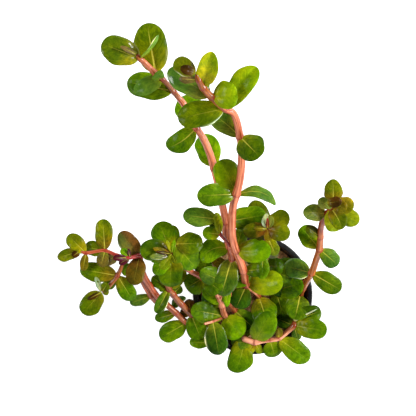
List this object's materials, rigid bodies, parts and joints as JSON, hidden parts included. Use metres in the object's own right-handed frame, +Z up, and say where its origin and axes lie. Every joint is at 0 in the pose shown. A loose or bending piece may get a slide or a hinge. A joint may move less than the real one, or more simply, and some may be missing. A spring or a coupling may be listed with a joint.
{
  "type": "blood red rotala in a growing pot",
  "caption": "Potted stem plant with rounded opposite leaves on salmon stems, rooted in mineral wool in a small round black growing pot.",
  "frame": {"origin": "middle of the pot's flat underside, which is the face that the plant stands on", "axes": "+Z up along the pot's axis, +Y towards the side to which the two tall stems lean, +X to the right of them as seen from above"},
  "size_m": [0.1159, 0.1359, 0.1536],
  "materials": {
    "dark": "satin",
    "green": "satin",
    "bright": "satin",
    "olive": "satin",
    "young": "satin",
    "stem": "satin",
    "wool": "matte",
    "pot": "satin"
  },
  "bodies": {
    "root": {"growing_pot": "pot", "wool_plug": "wool", "stem_tall_right": "stem", "stem_tall_left": "stem", "stem_small_shoot": "stem", "stem_right": "stem", "stem_centre": "stem", "stem_left_rosette": "stem", "stem_left_low": "stem", "stem_left_long": "stem", "stem_left_fork": "stem", "stem_hanging_shoot": "stem", "stem_front_left": "stem", "stem_front_left_shoot": "stem", "stem_creeping": "stem", "leaf_tall_right_1": "olive", "leaf_tall_right_2": "bright", "leaf_tall_right_3": "dark", "leaf_tall_right_4": "bright", "leaf_tall_right_5": "dark", "leaf_tall_right_6": "green", "leaf_tall_right_7": "bright", "leaf_tall_right_8": "dark", "leaf_tall_right_9": "green", "leaf_tall_right_10": "dark", "leaf_tall_right_11": "bright", "leaf_tall_right_12": "bright", "leaf_tall_right_13": "dark", "leaf_tall_right_14": "olive", "leaf_tall_right_15": "bright", "leaf_tall_left_1": "dark", "leaf_tall_left_2": "green", "leaf_tall_left_3": "dark", "leaf_tall_left_4": "green", "leaf_tall_left_5": "dark", "leaf_tall_left_6": "green", "leaf_tall_left_7": "dark", "leaf_tall_left_8": "green", "leaf_tall_left_9": "green", "leaf_tall_left_10": "olive", "leaf_tall_left_11": "bright", "leaf_small_shoot_1": "dark", "leaf_right_1": "green", "leaf_right_2": "green", "leaf_right_3": "dark", "leaf_right_4": "green", "leaf_right_5": "bright", "leaf_centre_1": "dark", "leaf_centre_2": "dark", "leaf_centre_3": "olive", "leaf_centre_4": "olive", "leaf_left_rosette_1": "bright", "leaf_left_rosette_2": "green", "leaf_left_rosette_3": "olive", "leaf_left_long_1": "young", "leaf_hanging_shoot_1": "green", "leaf_creeping_1": "green", "leaf_creeping_2": "green", "leaf_creeping_3": "green", "leaf_creeping_4": "bright"}
  },
  "joints": []
}
